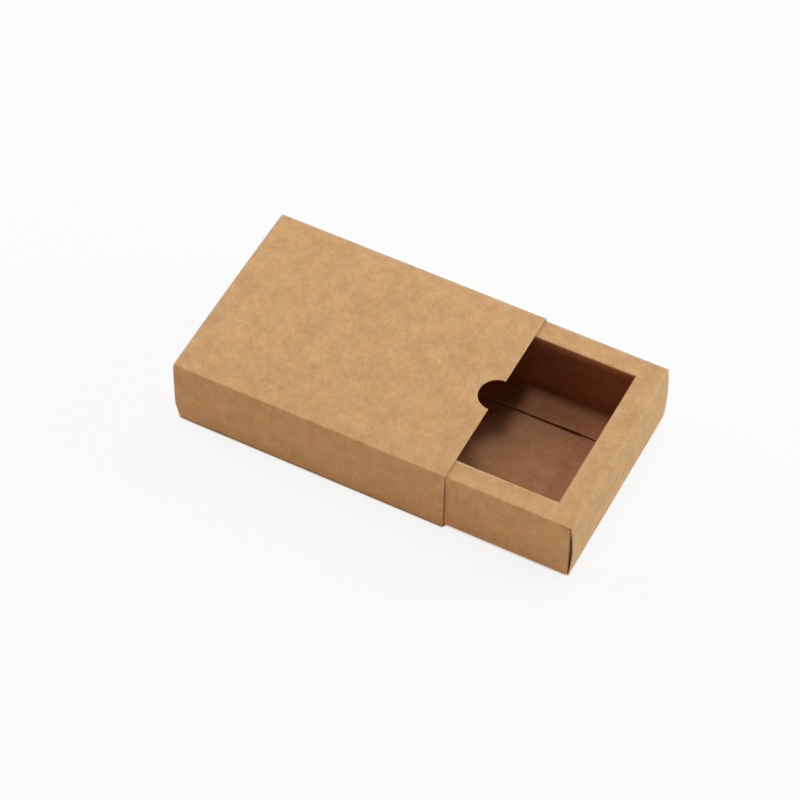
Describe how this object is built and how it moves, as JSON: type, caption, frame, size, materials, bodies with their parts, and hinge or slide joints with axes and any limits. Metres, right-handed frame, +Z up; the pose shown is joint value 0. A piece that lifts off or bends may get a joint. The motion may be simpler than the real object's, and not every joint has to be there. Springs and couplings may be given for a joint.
{
  "type": "sliding drawer gift box",
  "caption": "Flat kraft board gift box: an open-ended sleeve with a half-round thumb notch and a hollow-walled, framed drawer tray that slides out of it.",
  "frame": {"origin": "centre of the sleeve's underside, on the surface that the box rests on", "axes": "+Z up; the drawer comes out towards -Y, so +Y runs from the open drawer to the closed back of the box; +X to the right as seen from behind the drawer's front looking along +Y"},
  "size_m": [0.083, 0.1606, 0.0293],
  "materials": {
    "sleeve_board": "uncoated brown kraft board, matte",
    "drawer_board": "uncoated brown kraft board, matte",
    "adhesive": "dried paper glue"
  },
  "bodies": {
    "sleeve": {"sleeve_top_panel": "sleeve_board", "sleeve_left_side": "sleeve_board", "sleeve_right_side": "sleeve_board", "sleeve_bottom_panel": "sleeve_board", "sleeve_glue_flap": "sleeve_board", "sleeve_glue_line": "adhesive"},
    "drawer": {"drawer_base": "drawer_board", "left_outer_wall": "drawer_board", "right_outer_wall": "drawer_board", "front_outer_wall": "drawer_board", "rear_outer_wall": "drawer_board", "left_rim": "drawer_board", "right_rim": "drawer_board", "front_rim": "drawer_board", "rear_rim": "drawer_board", "left_inner_wall": "drawer_board", "right_inner_wall": "drawer_board", "front_inner_wall": "drawer_board", "rear_inner_wall": "drawer_board", "left_floor_flap": "drawer_board", "right_floor_flap": "drawer_board", "front_floor_flap": "drawer_board", "rear_floor_flap": "drawer_board", "front_left_corner_tab": "drawer_board", "front_right_corner_tab": "drawer_board", "rear_left_corner_tab": "drawer_board", "rear_right_corner_tab": "drawer_board"}
  },
  "joints": [
    {"name": "drawer_slide", "type": "slide", "parent": "sleeve", "child": "drawer", "axis": [0, -1, 0], "range_m": [-0.04975, 0.062]}
  ]
}
